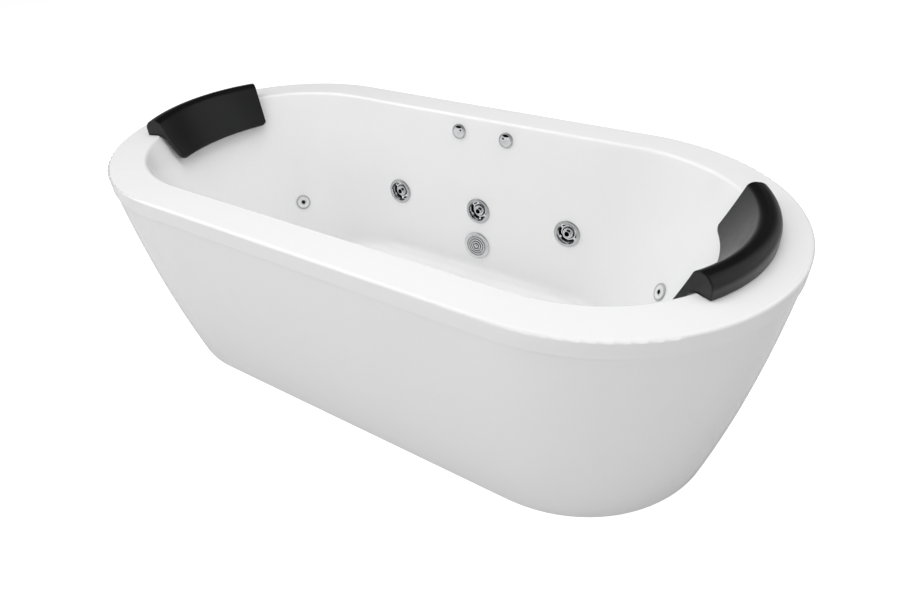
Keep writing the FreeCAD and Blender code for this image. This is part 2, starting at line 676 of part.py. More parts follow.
def build_suction():
    """The pump's inlet: a wall fitting under a grille that one screw holds."""
    outer = size["suction_radius"]
    cup = turned("suction_cup", [
        (0, -62), (SUCTION_NECK, -62), (SUCTION_NECK, 0.2), (outer - 2, 0.2), (outer - 2, 2), (0, 2)])
    pipe = size["suction_pipe_radius"]
    socket = cylinder("suction_socket", pipe + 4, 44.0,
                      place_along(Vector(0, 0, -36.0), Vector(-1, 0, 0)))
    chamber = turned("suction_chamber", [
        (0, 3), (SUCTION_NECK - 3, 3), (SUCTION_NECK - 3, -58), (0, -58)])
    way_out = cylinder("suction_way_out", pipe - 2, 50.0,
                       place_along(Vector(0, 0, -36.0), Vector(-1, 0, 0)))
    post = turned("suction_post", [(0, -62), (6, -62), (6, 1.5), (2.4, 1.5), (2.4, -10), (0, -10)])
    hollow = cut("suction_hollow", fuse("suction_solid", [cup, socket]),
                 fuse("suction_spaces", [chamber, way_out]))
    body = fuse("suction_body", [hollow, post])
    body.Placement = SUCTION
    keep(body, "suction_body")
    disc = turned("grille_disc", [
        (2.6, 2.3), (outer - 1.8, 2.3), (outer - 1.8, 0.5), (outer, 0.5), (outer, 2.6, -0.7),
        (outer - 2.5, 4.6), (0.76 * float(outer), 5.6, 0.2), (8, 7.2), (2.6, 7.4)])
    # Four round slots. The ribs that bridge them lie deep in the slots, under the face.
    slots = []
    for index in range(4):
        middle = 9.2 + 7.3 * index
        ring = cut("grille_slot_%d" % index, cylinder("grille_slot_outer_%d" % index, middle + 1.5,
                                                      12.0), cylinder("grille_slot_inner_%d" % index,
                                                                      middle - 1.5, 12.0))
        slots.append(ring)
    ribs = []
    for index in range(3):
        rib = box("grille_rib_%d" % index, 90, 2.4, 4.2, (0, 0, 0))
        turn = FreeCAD.Rotation(Vector(0, 0, 1), 60.0 * index)
        rib.Placement = FreeCAD.Placement(turn.multVec(Vector(-45, -1.2, -1)), turn)
        ribs.append(rib)
    openings = cut("grille_openings", fuse("grille_slots", slots), fuse("grille_ribs", ribs))
    grille = cut("suction_grille", disc, openings)
    grille.Placement = SUCTION
    keep(grille, "suction_grille")
    keep(turned("suction_screw", [
        (0, -8), (2.3, -8), (2.3, 7.5), (4.4, 7.5), (4.4, 8.4, -0.3), (2.2, 9.4), (0, 9.4)],
        SUCTION), "suction_screw")


def build_control(name, place, cap_name, dimple_x):
    """A round wall control: a bezel with a shank behind the wall, and its cap on a guided stem."""
    outer = size["control_radius"]
    shank = CONTROL_NECK - 2.0
    stem = 5.0
    cup = turned(name + "_cup", [
        (0, -34), (CONTROL_NECK, -34), (CONTROL_NECK, 0.2), (outer, 0.2), (outer, 2.6, -0.8),
        (outer - 2, 4.6), (shank + 2.8, 5.0), (shank + 2.6, 0.9), (shank - 1, 0.9),
        (shank - 1, -4), (stem + 0.06, -4), (stem + 0.06, -9), (shank - 1, -9), (shank - 1, -30),
        (0, -30)])
    barb = cylinder(name + "_barb", 6.0, 30.0, place_along(Vector(0, 0, -22), Vector(0, -1, 0)))
    way = cylinder(name + "_way", 3.5, 32.0, place_along(Vector(0, 0, -22), Vector(0, -1, 0)))
    body = cut(name + "_body", fuse(name + "_solid", [cup, barb]), way)
    body.Placement = place
    keep(body, name + "_body")
    cap = turned(cap_name + "_turning", [
        (0, -14), (stem, -14), (stem, 2.6), (11, 3.2), (shank + 2.4, 3.2), (shank + 2.4, 5.2),
        (shank + 1.4, 6.2), (0, 6.8)])
    # A crescent scoop at the top edge for a finger, and a small dimple as a pointer.
    scoop = cylinder(cap_name + "_scoop", 20.0, 12.0, FreeCAD.Placement(
        Vector(0, 31.0, 4.2), FreeCAD.Rotation()))
    dimple = cylinder(cap_name + "_dimple", 2.2, 4.0, FreeCAD.Placement(
        Vector(dimple_x, 5.4, 4.6), FreeCAD.Rotation()))
    finished = cut(cap_name, cap, fuse(cap_name + "_cuts", [scoop, dimple]))
    finished.Placement = place
    keep(finished, cap_name)


def build_waste():
    """Waste flange and tail in the floor, with a plug that pops up. Returns the back nut."""
    outer = size["waste_radius"]
    tail = size["waste_tail_radius"]
    thread = size["waste_thread_radius"]
    bore = thread - 3
    stem = 5.0
    place = FreeCAD.Placement(Vector(0, 0, float(FLOOR)), FreeCAD.Rotation())
    flange = turned("waste_flange", [
        (bore, -62), (thread, -62), (thread, -38), (tail, -38), (tail, 0.3), (outer, 0.3),
        (outer, 1.6, -0.4), (outer - 2, 3), (outer - 5, 3.2), (thread - 1, 1.8), (bore, -1)])
    hub = turned("waste_hub", [(stem + 0.07, -28), (8, -28), (8, -18), (stem + 0.07, -18)])
    arms = []
    for index in range(3):
        arm = box("waste_arm_%d" % index, 14, 3, 6, (0, 0, 0))
        turn = FreeCAD.Rotation(Vector(0, 0, 1), 120.0 * index)
        arm.Placement = FreeCAD.Placement(turn.multVec(Vector(7.5, -1.5, -26)), turn)
        arms.append(arm)
    body = fuse("waste_body", [flange, hub] + arms)
    body.Placement = place
    keep(body, "waste_body")
    keep(turned("waste_plug", [
        (0, -32), (stem, -32), (stem, -1), (17, 1.5), (19.5, 3.4), (outer - 6, 3.6), (outer - 4, 4.2),
        (outer - 3.4, 5.2), (outer - 5.6, 6.8), (outer - 19, 8.2), (8, 8.6), (0, 8.6)], place),
        "waste_plug")
    return turned("waste_nut", [
        (tail + 0.1, -36), (tail + 12, -36), (tail + 12, -21), (tail + 0.1, -21)], place)


# ---------------------------------------------------------------- pump

PUMP = place_along(Vector(float(size["pump_axis_x"]), 0, float(size["pump_axis_z"])), Vector(0, 1, 0))


def build_pump():
    """Wet end, motor, rotor and mounting. The pump's own Z axis is the shaft, along +Y."""
    volute_radius = size["volute_radius"]
    shaft = size["shaft_radius"]
    shell = turned("volute_shell", [
        (shaft + 4, -30), (volute_radius, -30), (volute_radius, 30), (30, 30), (30, 56), (0, 56),
        (0, 20), (shaft + 4, 20)])
    x_axis = float(size["pump_axis_x"])
    riser_place = place_along(Vector(-float(size["end_pipe_x"]), 0, float(size["pump_axis_z"])),
                              Vector(0, 0, 1))
    shell.Placement = PUMP
    riser = cylinder("volute_riser", 21.0, 96.0, riser_place)
    riser_way = cylinder("volute_riser_way", 14.0, 98.0, riser_place)
    hollow = turned("volute_hollow", [
        (0, -24), (volute_radius - 6, -24), (volute_radius - 6, 24), (25, 24), (25, 60), (0, 60)],
        PUMP)
    shaft_way = cylinder("volute_shaft_way", shaft + 0.05, 60.0, moved(PUMP, z=-60.0))
    volute = cut("pump_volute", fuse("volute_solid", [shell, riser, turned("volute_back", [
        (0, -30), (40, -30), (40, -24), (0, -24)], PUMP)]),
        fuse("volute_spaces", [hollow, riser_way, shaft_way]))
    keep(volute, "pump_volute")
    motor_radius = size["motor_radius"]
    motor = turned("motor_case", [
        (shaft + 4, -30.2), (38, -30.2), (38, -36), (motor_radius - 6, -36), (motor_radius, -42),
        (motor_radius, -188),
        (motor_radius - 8, -196), (0, -196), (0, -190), (motor_radius - 6, -190),
        (motor_radius - 6, -44), (shaft + 4, -44)])
    motor.Placement = PUMP
    foot = box("motor_foot", 90, 110, 22, (x_axis - 45, -170, 18))
    case = fuse("motor_casting", [motor, foot])
    bore = turned("motor_bore", [
        (0, -189), (motor_radius - 7, -189), (motor_radius - 7, -45), (0, -45)], PUMP)
    keep(cut("pump_motor", case, bore), "pump_motor")
    keep(turned("motor_rotor", [
        (0, -180), (shaft, -180), (shaft, -160), (40, -160), (40, -70), (shaft, -70), (shaft, -8),
        (0, -8)], PUMP), "motor_rotor")
    hub = turned("impeller_hub", [
        (shaft - 2, -14), (54, -14), (54, -11), (16, -8), (12, 8), (0, 8), (0, -7.9),
        (shaft - 2, -7.9)])
    blades = []
    for index in range(6):
        blade = box("impeller_blade_%d" % index, 40, 2.5, 20, (0, 0, 0))
        turn = FreeCAD.Rotation(Vector(0, 0, 1), 60.0 * index)
        blade.Placement = FreeCAD.Placement(turn.multVec(Vector(12, 4, -12)), turn)
        blades.append(blade)
    bored = cylinder("impeller_bore", shaft + 0.02, 8.1, FreeCAD.Placement(
        Vector(0, 0, -16), FreeCAD.Rotation()))
    impeller = cut("impeller", fuse("impeller_solid", [hub] + blades), bored)
    impeller.Placement = PUMP
    keep(impeller, "impeller")
    plate = box("pump_base_plate", 130, 130, 5, (x_axis - 65, -180, 12.9))
    keep(plate, "pump_base_plate")
    mounts = []
    for dx in (-50, 50):
        for y in (-165, -65):
            place = FreeCAD.Placement(Vector(x_axis + dx, y, 0), FreeCAD.Rotation())
            mounts.append(turned("pump_mount_%d" % len(mounts), [
                (0, 0), (13, 0), (13, 4), (10, 6), (13, 8), (13, 12.8), (0, 12.8)], place))
    keep(group("pump_mounts", mounts), "pump_mounts")


# ---------------------------------------------------------------- pipes

def route(points, bends):
    """Straight runs between the points, each inner corner rounded with its own bend radius."""
    edges = []
    start = points[0]
    for index in range(1, len(points) - 1):
        corner = points[index]
        back = (points[index - 1] - corner).normalize()
        ahead = (points[index + 1] - corner).normalize()
        half = back.getAngle(ahead) / 2
        trim = bends[index - 1] / math.tan(half)
        bisector = (back + ahead).normalize()
        centre = corner + bisector * (bends[index - 1] / math.sin(half))
        begin = corner + back * trim
        finish = corner + ahead * trim
        middle = centre - bisector * bends[index - 1]
        if (begin - start).Length > 0.01:
            edges.append(Part.LineSegment(start, begin).toShape())
        edges.append(Part.Arc(begin, middle, finish).toShape())
        start = finish
    edges.append(Part.LineSegment(start, points[-1]).toShape())
    return Part.Wire(edges)


def hose(points, bends, outer, inner):
    """A pipe along a route, hollow where inner is not zero."""
    path = route(points, bends)
    direction = points[1] - points[0]

    def swept(radius):
        ring = Part.Wire(Part.makeCircle(radius, points[0], direction))
        return path.makePipeShell([ring], True, False)

    solid = swept(outer)
    return solid.cut(swept(inner)) if inner else solid


def build_water_pipes():
    """The pressure main: short pipes between the jets and a bend round each end."""
    socket_line = moved(LARGE_JETS[0][1], z=-float(size["jet_depth"])).Base
    side = socket_line.y
    level = socket_line.z
    reach = float(size["socket_reach"]) + 0.1
    spacing = float(size["jet_spacing"])
    outer = float(size["pipe_radius"])
    inner = outer - float(size["pipe_wall"])
    far = float(size["end_pipe_x"])
    bend = side - 34.0
    pieces = []
    for sign in (1, -1):
        for start in (-spacing, 0.0):
            pieces.append(hose([Vector(start + reach, sign * side, level),
                                Vector(start + spacing - reach, sign * side, level)], [],
                               outer, inner))
    right_end = hose([Vector(spacing + reach, side, level), Vector(far, side, level),
                      Vector(far, -side, level), Vector(spacing + reach, -side, level)],
                     [bend, bend], outer, inner)
    pieces.append(right_end)
    for sign in (1, -1):
        pieces.append(hose([Vector(-spacing - reach, sign * side, level),
                            Vector(-far, sign * side, level), Vector(-far, sign * 33.9, level)],
                           [bend - 0.2], outer, inner))
    riser_foot = float(size["pump_axis_z"]) + 96.2
    pieces.append(hose([Vector(-far, 0, riser_foot), Vector(-far, 0, level - 33.8)], [],
                       outer, inner))
    keep(formed("water_pipes", Part.makeCompound(pieces)), "water_pipes")
    tee_outside = cylinder("tee_run", size["socket_radius"], 67.6,
                           place_along(Vector(-far, -33.8, level), Vector(0, 1, 0)))
    # The branch is a little slimmer than the run, so that their surfaces cross cleanly.
    branch = cylinder("tee_branch", size["socket_radius"] - 0.8, 33.6,
                      place_along(Vector(-far, 0, level), Vector(0, 0, -1)))
    run_way = cylinder("tee_run_way", inner, 70.0,
                       place_along(Vector(-far, -35, level), Vector(0, 1, 0)))
    branch_way = cylinder("tee_branch_way", inner - 0.8, 36.0,
                          place_along(Vector(-far, 0, level), Vector(0, 0, -1)))
    keep(cut("water_tee", fuse("tee_solid", [tee_outside, branch]),
             fuse("tee_ways", [run_way, branch_way])), "water_tee")
    feeds = []
    for _, place in BACK_JETS:
        tail = moved(place, z=-48.2).Base
        outward = (tail - place.Base).normalize()
        end = 1 if tail.x > 0 else -1
        corner_x = end * (far - bend)
        corner_y = math.copysign(side - bend, tail.y)
        # The feed leaves the jet's tail straight, then climbs into the underside of the main.
        run = 20.0
        while math.hypot(tail.x + outward.x * run - corner_x,
                         tail.y + outward.y * run - corner_y) < bend:
            run += 0.25
        turn = tail + outward * run
        top = Vector(turn.x, turn.y, level - outer - 0.3)
        bend_radius = 0.45 * min(run, abs(top.z - turn.z))
        feeds.append(hose([tail, turn, top], [bend_radius], 9.0, 6.5))
    keep(formed("back_jet_feeds", Part.makeCompound(feeds)), "back_jet_feeds")


def build_suction_pipe():
    """One pipe from the suction fitting down and round to the pump's inlet."""
    start = moved(SUCTION, x=-44.3, z=-36.0).Base
    axis = Vector(float(size["pump_axis_x"]), 56.3, float(size["pump_axis_z"]))
    outer = float(size["suction_pipe_radius"])
    pipe = hose([start, Vector(-520, start.y, start.z), Vector(axis.x, 235, axis.z), axis],
                [150.0, 100.0], outer, outer - 3.0)
    keep(formed("suction_pipe", pipe), "suction_pipe")


def build_air_pipes():
    """Air from the control to every large jet: a loop with a short drop onto each jet's barb."""
    barb = moved(LARGE_JETS[0][1], y=44.3, z=-float(size["jet_depth"])).Base
    outer = 9.0
    level = barb.z + 15.0
    side = barb.y
    spacing = float(size["jet_spacing"])
    far = 790.0
    bend = side - 30.0
    start = -spacing - 20
    pieces = [hose([Vector(start, side, level), Vector(far, side, level),
                    Vector(far, -side, level), Vector(start, -side, level)], [bend, bend], outer, 0)]
    for _, place in LARGE_JETS:
        mouth = moved(place, y=45.0, z=-float(size["jet_depth"])).Base
        pieces.append(hose([mouth + Vector(0, 0, 0.6), Vector(mouth.x, mouth.y, level)], [], 6.5, 0))
    control_foot = moved(AIR_CONTROL, y=-30.9, z=-22.0).Base
    pieces.append(hose([Vector(control_foot.x, control_foot.y, control_foot.z),
                        Vector(control_foot.x, side + 1.0, level)], [], 6.5, 0))
    loop = pieces[0].multiFuse(pieces[1:])
    keep(formed("air_pipes", loop.removeSplitter()), "air_pipes")


def build_switch_line():
    """The button's thin air line, the switch box on the motor and its cable gland."""
    x_axis = float(size["pump_axis_x"])
    box_foot = 158.0
    case = box("switch_case", 84, 96, 46, (x_axis - 42, -168, box_foot))
    doc.recompute()
    rounded = doc.addObject("Part::Fillet", "switch_case_round")
    rounded.Base = case
    rounded.Edges = [(i + 1, 6.0, 6.0) for i, edge in enumerate(case.Shape.Edges)
                     if edge.BoundBox.ZLength > 40]
    saddle = turned("switch_saddle", [(0, -170), (float(size["motor_radius"]) + 0.2, -170),
                                      (float(size["motor_radius"]) + 0.2, -70), (0, -70)], PUMP)
    cable = size["cable_radius"]
    gland_place = place_along(Vector(x_axis, -168.2, box_foot + 26), Vector(0, -1, 0))
    entry = cylinder("cable_entry", cable + 0.5, 26.0, moved(gland_place, z=-20.0))
    keep(cut("switch_box", rounded, fuse("switch_box_cuts", [saddle, entry])), "switch_box")
    keep(turned("cable_gland", [
        (cable, 0), (11, 0), (11, 6), (9, 8), (9, 14), (cable + 2.5, 20), (cable, 20)], gland_place),
        "cable_gland")
    foot = moved(BUTTON, y=-30.3, z=-22.0).Base
    lane = 372.0
    level = 430.0
    corner = float(STRAIGHT) + lane - 20
    line = hose([foot, Vector(foot.x, foot.y, level + 20), Vector(foot.x - 40, lane, level),
                 Vector(-corner, lane, level), Vector(-corner, -120, level),
                 Vector(x_axis - 10, -120, 300), Vector(x_axis - 10, -120, box_foot + 46.3)],
                [25.0, 25.0, 350.0, 80.0, 60.0], 3.0, 0)
    keep(formed("button_air_line", line), "button_air_line")


# ---------------------------------------------------------------- headrests

PAD_PLAY = 0.6
CREST = 43.0
SEAT_OUTER = 378.0
FLAP_DROP = 73.0
CORNER_START = 0.87
CORNER_LIFT = 11.5
PAD_ARC = 360.0
PAD_TURN = 0.82
PAD_STEPS = 10


def pad_section(share):
    """One slice of a headrest, in (radius, height) from the rim's end centre and the rim's top.

    share runs from -1 to 1 across the pad: the flap's lower edge is flatter than the rim's curve,
    and its corners are quarter circles.
    """
    tip = 276.0 + 11.0 * share ** 2
    past = max(0.0, (abs(share) - CORNER_START) / (1.0 - CORNER_START))
    lift = CORNER_LIFT * (1.0 - math.sqrt(1.0 - past ** 2))
    slope = (330.5 - tip) / (36.2 + FLAP_DROP - 4)
    drop = FLAP_DROP - lift
    front = (tip + slope * lift, -drop + 4)
    base = (front[0] + 5.6, -drop)
    back = (front[0] + 12.4, -drop + 4.5)
    return [
        ("line", (346.8, PAD_PLAY)), ("line", (SEAT_OUTER, PAD_PLAY)),
        ("arc", (377.3, 16.0), (369.0, 36.6)),
        ("arc", (351.3, CREST), (339.4, 42.6)),
        ("line", (330.5, 36.2)),
        ("arc", front, base),
        ("line", back), ("line", (328.5, -13.0)), ("line", (342.0, -2.2)),
    ]


def pad_wire(end, middle_angle, offset, share):
    """The slice as a closed wire in an upright plane.

    The plane crosses the pad's arc at one angle, and is turned a little less than that angle, so
    the pad's two ends are nearer to parallel than the rim's own radii.
    """
    points = pad_section(share)
    place = math.radians(middle_angle + offset)
    turn = math.radians(middle_angle + offset * PAD_TURN)

    def spot(pair):
        reach = pair[0] - PAD_ARC
        along = PAD_ARC * math.cos(place) + reach * math.cos(turn)
        across = PAD_ARC * math.sin(place) + reach * math.sin(turn)
        return Vector(end * (float(STRAIGHT) + along), across, float(HEIGHT) + pair[1])

    edges = []
    for index, item in enumerate(points):
        after = points[(index + 1) % len(points)]
        if item[0] == "line":
            edges.append(Part.LineSegment(spot(item[1]), spot(after[1])).toShape())
        else:
            edges.append(Part.Arc(spot(item[1]), spot(item[2]), spot(after[1])).toShape())
    return Part.Wire(edges)


def build_headrest(name, end, middle_angle):
    """A moulded pad hooked over the rim, and the two suction cups behind its flap."""
    half = float(size[name + "_half_angle"])
    wires = []
    for step in range(-PAD_STEPS, PAD_STEPS + 1):
        # Slices crowd together towards both ends, where the flap's corners are.
        share = math.sin(math.pi / 2 * step / PAD_STEPS)
        wires.append(pad_wire(end, middle_angle, share * half, share))
    keep(formed(name + "_pad", Part.makeLoft(wires, True, True)), name + "_pad")
    cups = []
    for offset in (-15.0, 15.0):
        level = 544.0
        radius = basin_section(level)[1]
        y = radius * math.sin(math.radians(middle_angle + offset))
        place = end_place(y, level, end)
        cups.append(turned("%s_cup_%d" % (name, len(cups)), [
            (0, 1.2), (12, 1.0), (18, 0.5), (18.5, 1.3), (12, 3.4), (5, 5), (5, 14), (0, 14)], place))
    keep(group(name + "_cups", cups), name + "_cups")


# ---------------------------------------------------------------- build and export

build_shell()
build_apron()
build_frame()
build_apron_brackets()
jet_nuts = build_large_jets()
build_back_jets()
build_suction()
build_control("air_control", AIR_CONTROL, "air_control_knob", 7.0)
build_control("start_button", BUTTON, "start_button_cap", -7.0)
waste_nut = build_waste()
keep(group("back_nuts", jet_nuts + [waste_nut]), "back_nuts")
build_pump()
build_water_pipes()
build_suction_pipe()
build_air_pipes()
build_switch_line()
build_headrest("left_headrest", -1, 4.6)
build_headrest("right_headrest", 1, -1.35)
doc.recompute()

for thing in doc.Objects:
    if "Invalid" in thing.State or "Error" in thing.State:
        raise RuntimeError("%s is in state %s" % (thing.Name, thing.State))
for node in nodes:
    if node.Shape.isNull() or not node.Shape.isValid():
        raise RuntimeError("%s has no valid shape" % node.Label)

os.makedirs("parts", exist_ok=True)
for node in nodes:
    node.Shape.exportStep("parts/%s.step" % node.Label)
    print("%-26s %d solid(s) %10.1f cm3" % (node.Label, len(node.Shape.Solids),
                                           node.Shape.Volume / 1000))
print(len(nodes), "nodes")
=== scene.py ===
# %% [markdown]
# # An oval spa bath, dressed in Blender
#
# The bath's rigid pieces were built in CAD and arrive here as a fixed frame. Each cell below
# adds one thing to it: a camera, light, a finish, or a piece whose soft or subtle form is easier
# to work out as a surface. Everything is in metres. +X runs along the bath, +Y points to the wall
# with the controls, and +Z is up from the floor.

# %% Load the frame
import json
import math

import bmesh
import bpy
import numpy as np
from mathutils import Matrix, Vector


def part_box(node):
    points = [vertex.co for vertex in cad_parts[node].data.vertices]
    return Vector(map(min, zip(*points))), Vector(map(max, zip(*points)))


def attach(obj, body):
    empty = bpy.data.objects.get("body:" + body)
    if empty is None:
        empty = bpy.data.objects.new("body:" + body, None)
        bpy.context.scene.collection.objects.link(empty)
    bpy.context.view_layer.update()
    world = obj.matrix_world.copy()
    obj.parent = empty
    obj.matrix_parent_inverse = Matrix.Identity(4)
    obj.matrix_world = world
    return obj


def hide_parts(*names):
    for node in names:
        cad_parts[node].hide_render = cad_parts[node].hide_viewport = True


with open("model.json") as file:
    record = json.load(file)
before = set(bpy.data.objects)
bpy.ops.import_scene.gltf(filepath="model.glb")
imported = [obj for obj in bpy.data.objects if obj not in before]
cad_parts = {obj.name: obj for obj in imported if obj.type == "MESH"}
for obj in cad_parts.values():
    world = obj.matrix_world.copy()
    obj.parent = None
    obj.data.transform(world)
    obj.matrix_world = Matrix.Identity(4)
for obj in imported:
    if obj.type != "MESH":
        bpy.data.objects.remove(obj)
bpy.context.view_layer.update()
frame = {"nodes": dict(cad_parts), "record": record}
scene = bpy.context.scene

# %% [markdown]
# ## The camera
#
# The camera stands in front of the bath's right end and looks down over the near rim. Its place
# and lens come from fitting the outlines of rim, basin and apron, so they are given as three
# directions and a point and not as angles.

# %% Camera
EYE = Vector((0.8884, -1.1683, 1.2587))
RIGHT = Vector((0.84525, 0.53208, -0.04944))
DOWN = Vector((0.28501, -0.52714, -0.80056))
FORWARD = Vector((-0.45202, 0.66258, -0.59721))
FOCAL_LENGTH = 25.65
FILM_WIDTH = 36.0

lens = bpy.data.cameras.new("studio_camera")
lens.lens = FOCAL_LENGTH
lens.sensor_width = FILM_WIDTH
camera = bpy.data.objects.new("studio_camera", lens)
scene.collection.objects.link(camera)
turn = Matrix((RIGHT, -DOWN, -FORWARD)).transposed().to_4x4()
camera.matrix_world = Matrix.Translation(EYE) @ turn
scene.camera = camera
print("camera", lens.lens, "mm at", tuple(round(v, 3) for v in EYE))

# %% [markdown]
# ## Small helpers for shader nodes
#
# A material is a graph of nodes. These two helpers add a node and wire it up in one line, which
# keeps the cells that follow short enough to read.


# %% Node helpers
def add_node(tree, kind, **inputs):
    """A node of one kind. A keyword names an input with its spaces written as underscores."""
    node = tree.nodes.new(kind)
    for name, value in inputs.items():
        socket = node.inputs[name.replace("_", " ")]
        if isinstance(value, bpy.types.NodeSocket):
            tree.links.new(value, socket)
        else:
            socket.default_value = value
    return node


def math_node(tree, operation, first, second, clamp=False):
    """One operation, such as ADD, on two numbers or sockets."""
    node = tree.nodes.new("ShaderNodeMath")
    node.operation = operation
    node.use_clamp = clamp
    for socket, value in zip(node.inputs, (first, second)):
        if isinstance(value, bpy.types.NodeSocket):
            tree.links.new(value, socket)
        else:
            socket.default_value = value
    return node.outputs[0]


def new_group(name, inputs, outputs):
    """An empty node group with named sockets. inputs maps a name to (type, default)."""
    group = bpy.data.node_groups.new(name, "ShaderNodeTree")
    for label, (kind, default) in inputs.items():
        socket = group.interface.new_socket(label, in_out="INPUT", socket_type=kind)
        socket.default_value = default
    for label, kind in outputs.items():
        group.interface.new_socket(label, in_out="OUTPUT", socket_type=kind)
    start = group.nodes.new("NodeGroupInput")
    end = group.nodes.new("NodeGroupOutput")
    return group, start.outputs, end.inputs


def place_group(tree, group, **inputs):
    """A copy of a group inside a material, with its own values."""
    node = tree.nodes.new("ShaderNodeGroup")
    node.node_tree = group
    for name, value in inputs.items():
        node.inputs[name.replace("_", " ")].default_value = value
    return node


print("helpers ready")

# %% [markdown]
# ## Effects that several finishes share
#
# Real surfaces are never one even value. Three effects cover this bath: a slow drift of tone, the
# ripple of a moulded gloss skin, and fine rubbing marks. Each is a node group, built once and
# placed in a material with its own scale and strength.


# %% Tone drift
def build_tone_drift():
    """Colour times (1 + strength * (noise - 0.5)), with noise at one scale."""
    group, given, result = new_group(
        "Tone drift",
        {"Color": ("NodeSocketColor", (0.8, 0.8, 0.8, 1.0)),
         "Scale": ("NodeSocketFloat", 6.0), "Strength": ("NodeSocketFloat", 0.05)},
        {"Color": "NodeSocketColor", "Noise": "NodeSocketFloat"})
    place = add_node(group, "ShaderNodeTexCoord")
    noise = add_node(group, "ShaderNodeTexNoise", Vector=place.outputs["Object"],
                     Scale=given["Scale"], Detail=4.0)
    centred = math_node(group, "SUBTRACT", noise.outputs[0], 0.5)
    gain = math_node(group, "MULTIPLY", centred, given["Strength"])
    factor = math_node(group, "ADD", gain, 1.0)
    scaled = group.nodes.new("ShaderNodeVectorMath")
    scaled.operation = "SCALE"
    group.links.new(given["Color"], scaled.inputs[0])
    group.links.new(factor, scaled.inputs["Scale"])
    group.links.new(scaled.outputs[0], result["Color"])
    group.links.new(noise.outputs[0], result["Noise"])
    return group


tone_drift = build_tone_drift()
print("group", tone_drift.name)


# %% Moulded ripple
def build_moulded_ripple():
    """Height: a coarse and a fine noise added, as a skin has that was moulded, not machined."""
    group, given, result = new_group(
        "Moulded ripple",
        {"Coarse": ("NodeSocketFloat", 60.0), "Fine": ("NodeSocketFloat", 900.0),
         "Fine share": ("NodeSocketFloat", 0.3)},
        {"Height": "NodeSocketFloat"})
    place = add_node(group, "ShaderNodeTexCoord")
    coarse = add_node(group, "ShaderNodeTexNoise", Vector=place.outputs["Object"],
                      Scale=given["Coarse"], Detail=2.0)
    fine = add_node(group, "ShaderNodeTexNoise", Vector=place.outputs["Object"],
                    Scale=given["Fine"], Detail=1.0)
    share = math_node(group, "MULTIPLY", fine.outputs[0], given["Fine share"])
    group.links.new(math_node(group, "ADD", coarse.outputs[0], share), result["Height"])
    return group


moulded_ripple = build_moulded_ripple()
print("group", moulded_ripple.name)


# %% Rubbing marks
def build_rubbing_marks():
    """Roughness from a base value, raised where stretched noise says a cloth has rubbed."""
    group, given, result = new_group(
        "Rubbing marks",
        {"Base": ("NodeSocketFloat", 0.15), "Spread": ("NodeSocketFloat", 0.1),
         "Scale": ("NodeSocketFloat", 120.0), "Stretch": ("NodeSocketFloat", 8.0)},
        {"Roughness": "NodeSocketFloat", "Marks": "NodeSocketFloat"})
    place = add_node(group, "ShaderNodeTexCoord")
    split = add_node(group, "ShaderNodeSeparateXYZ", Vector=place.outputs["Object"])
    squeezed = math_node(group, "MULTIPLY", split.outputs[2], given["Stretch"])
    joined = add_node(group, "ShaderNodeCombineXYZ", X=split.outputs[0], Y=split.outputs[1],
                      Z=squeezed)
    noise = add_node(group, "ShaderNodeTexNoise", Vector=joined.outputs[0], Scale=given["Scale"],
                     Detail=3.0)
    marks = math_node(group, "SUBTRACT", noise.outputs[0], 0.35, clamp=True)
    extra = math_node(group, "MULTIPLY", marks, given["Spread"])
    group.links.new(math_node(group, "ADD", given["Base"], extra), result["Roughness"])
    group.links.new(marks, result["Marks"])
    return group


rubbing_marks = build_rubbing_marks()
print("group", rubbing_marks.name)


# %% Round patches
def build_round_patch():
    """Mask = clamp(0.5 + (radius - |p - centre|) / edge): 1 in a ball round a point, else 0."""
    group, given, result = new_group(
        "Round patch",
        {"Centre": ("NodeSocketVector", (0.0, 0.0, 0.0)), "Radius": ("NodeSocketFloat", 0.01),
         "Edge": ("NodeSocketFloat", 0.0005)},
        {"Mask": "NodeSocketFloat"})
    place = add_node(group, "ShaderNodeTexCoord")
    gap = group.nodes.new("ShaderNodeVectorMath")
    gap.operation = "DISTANCE"
    group.links.new(place.outputs["Object"], gap.inputs[0])
    group.links.new(given["Centre"], gap.inputs[1])
    left = math_node(group, "SUBTRACT", given["Radius"], gap.outputs["Value"])
    steep = math_node(group, "DIVIDE", left, given["Edge"])
    group.links.new(math_node(group, "ADD", steep, 0.5, clamp=True), result["Mask"])
    return group


round_patch = build_round_patch()
print("group", round_patch.name)

# %% [markdown]
# ## One recipe for most finishes
#
# Most finishes here differ only in numbers: a colour that drifts, a roughness with rubbing marks
# and a ripple in the surface. The recipe sets what is even on the shader itself and lets the
# groups feed what changes. On small fittings, round patches lay on painted shade in slots and
# recesses, painted darker reflection on some chrome faces, and the grey rims of the back jets.


# %% The recipe
def lay_patches(tree, under, patches):
    """Lay colours over one another. Each covers the product of its round masks."""
    for color, rounds in patches:
        cover = 1.0
        for centre, radius, inside in rounds:
            spot = place_group(tree, round_patch, Centre=centre, Radius=radius)
            mask = spot.outputs["Mask"]
            if not inside:
                mask = math_node(tree, "SUBTRACT", 1.0, mask)
            cover = math_node(tree, "MULTIPLY", cover, mask)
        mix = tree.nodes.new("ShaderNodeMix")
        mix.data_type = "RGBA"
        tree.links.new(cover, mix.inputs["Factor"])
        tree.links.new(under, mix.inputs[6])
        mix.inputs[7].default_value = (*color, 1.0)
        under = mix.outputs[2]
    return under


